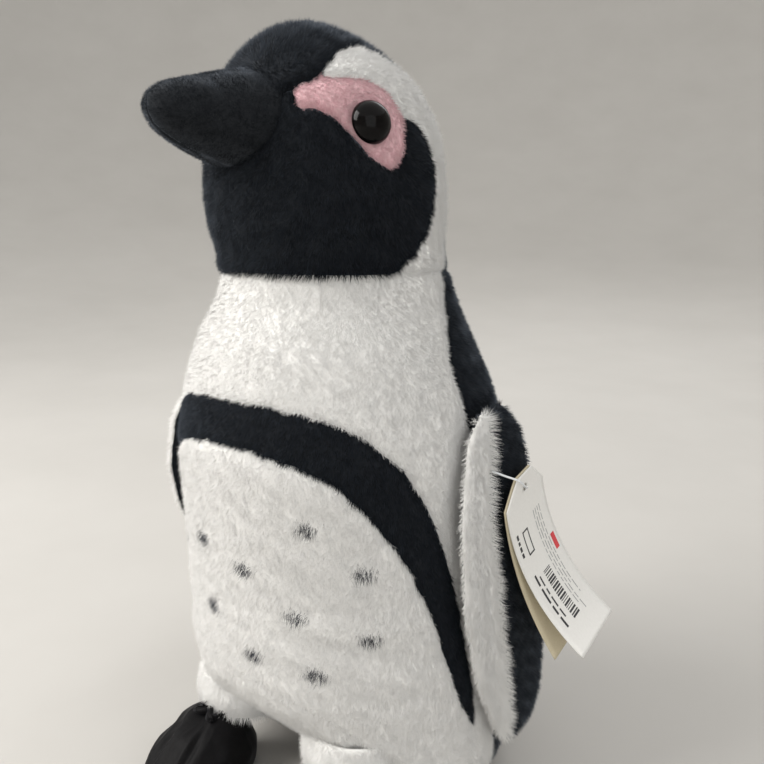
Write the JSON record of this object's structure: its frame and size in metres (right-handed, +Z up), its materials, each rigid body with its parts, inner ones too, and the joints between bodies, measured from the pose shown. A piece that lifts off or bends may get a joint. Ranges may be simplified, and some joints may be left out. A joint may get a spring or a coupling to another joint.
{
  "type": "plush penguin",
  "caption": "Standing soft toy penguin with a black back, white belly with grey spots, chest band, pink eye patches, flippers and a two-card swing tag.",
  "frame": {"origin": "on the table under the middle of the torso, on the flat seat", "axes": "+Z up, the face looks along -Y, the penguin's left side is +X"},
  "size_m": [0.279, 0.1945, 0.3475],
  "materials": {
    "white_plush": "short white pile, matt",
    "black_plush": "short black pile, slight sheen",
    "pink_plush": "short pink pile, matt",
    "beak_cloth": "very short velvety pile",
    "foot_satin": "smooth, shiny, creased",
    "fibre_fill": "matt",
    "eye_plastic": "polished",
    "washer_plastic": "matt",
    "tag_card": "smooth printed card",
    "back_card": "uncoated cream card",
    "tack_plastic": "clear nylon"
  },
  "bodies": {
    "torso": {"chest_panel": "white_plush", "chest_band": "black_plush", "belly_panel": "white_plush", "back_panel_left": "black_plush", "back_panel_right": "black_plush", "base_panel": "white_plush", "leg_cuff_left": "white_plush", "leg_cuff_right": "white_plush", "tail_top": "black_plush", "tail_under": "black_plush", "body_stuffing": "fibre_fill"},
    "head": {"crown_panel": "black_plush", "mask_left": "black_plush", "mask_right": "black_plush", "white_stripe_left": "white_plush", "white_stripe_right": "white_plush", "pink_patch_left": "pink_plush", "pink_patch_right": "pink_plush", "beak_left": "beak_cloth", "beak_right": "beak_cloth", "eye_left": "eye_plastic", "eye_right": "eye_plastic", "eye_washer_left": "washer_plastic", "eye_washer_right": "washer_plastic", "head_stuffing": "fibre_fill"},
    "flipper_left": {"flipper_outer_left": "black_plush", "flipper_strip_left": "white_plush", "flipper_inner_left": "black_plush", "flipper_wadding_left": "fibre_fill", "tag_fastener": "tack_plastic"},
    "flipper_right": {"flipper_outer_right": "black_plush", "flipper_strip_right": "white_plush", "flipper_inner_right": "black_plush", "flipper_wadding_right": "fibre_fill"},
    "foot_left": {"foot_upper_left": "foot_satin", "foot_sole_left": "foot_satin", "foot_stuffing_left": "fibre_fill"},
    "foot_right": {"foot_upper_right": "foot_satin", "foot_sole_right": "foot_satin", "foot_stuffing_right": "fibre_fill"},
    "tag": {"tag_front_card": "tag_card"},
    "tag_back": {"tag_back_card": "back_card"}
  },
  "joints": [
    {"name": "head_turn", "type": "hinge", "parent": "torso", "child": "head", "pos_m": [0, -0.011, 0.249], "axis": [0, 0, 1], "range_deg": [-20, 32], "stiffness_Nm_per_rad": 0.4},
    {"name": "flipper_left_lift", "type": "hinge", "parent": "torso", "child": "flipper_left", "pos_m": [0.078, 0.012, 0.19], "axis": [0, -1, 0], "range_deg": [0, 75], "stiffness_Nm_per_rad": 0.05},
    {"name": "flipper_right_lift", "type": "hinge", "parent": "torso", "child": "flipper_right", "pos_m": [-0.078, 0.012, 0.19], "axis": [0, 1, 0], "range_deg": [-15, 45], "stiffness_Nm_per_rad": 0.05},
    {"name": "foot_left_turn", "type": "hinge", "parent": "torso", "child": "foot_left", "pos_m": [0.037, -0.036, 0.0315], "axis": [0, 0, 1], "range_deg": [-12, 15], "stiffness_Nm_per_rad": 0.5},
    {"name": "foot_right_turn", "type": "hinge", "parent": "torso", "child": "foot_right", "pos_m": [-0.037, -0.036, 0.0315], "axis": [0, 0, -1], "range_deg": [-12, 15], "stiffness_Nm_per_rad": 0.5},
    {"name": "tag_swing", "type": "hinge", "parent": "flipper_left", "child": "tag", "pos_m": [0.0953, 0.0035, 0.1621], "axis": [0.9983, 0.058, -0.0033], "range_deg": [-8, 30]},
    {"name": "tag_fan", "type": "hinge", "parent": "tag", "child": "tag_back", "pos_m": [0.0953, 0.0035, 0.1621], "axis": [0.9983, 0.058, -0.0033], "range_deg": [-8, 8]}
  ]
}
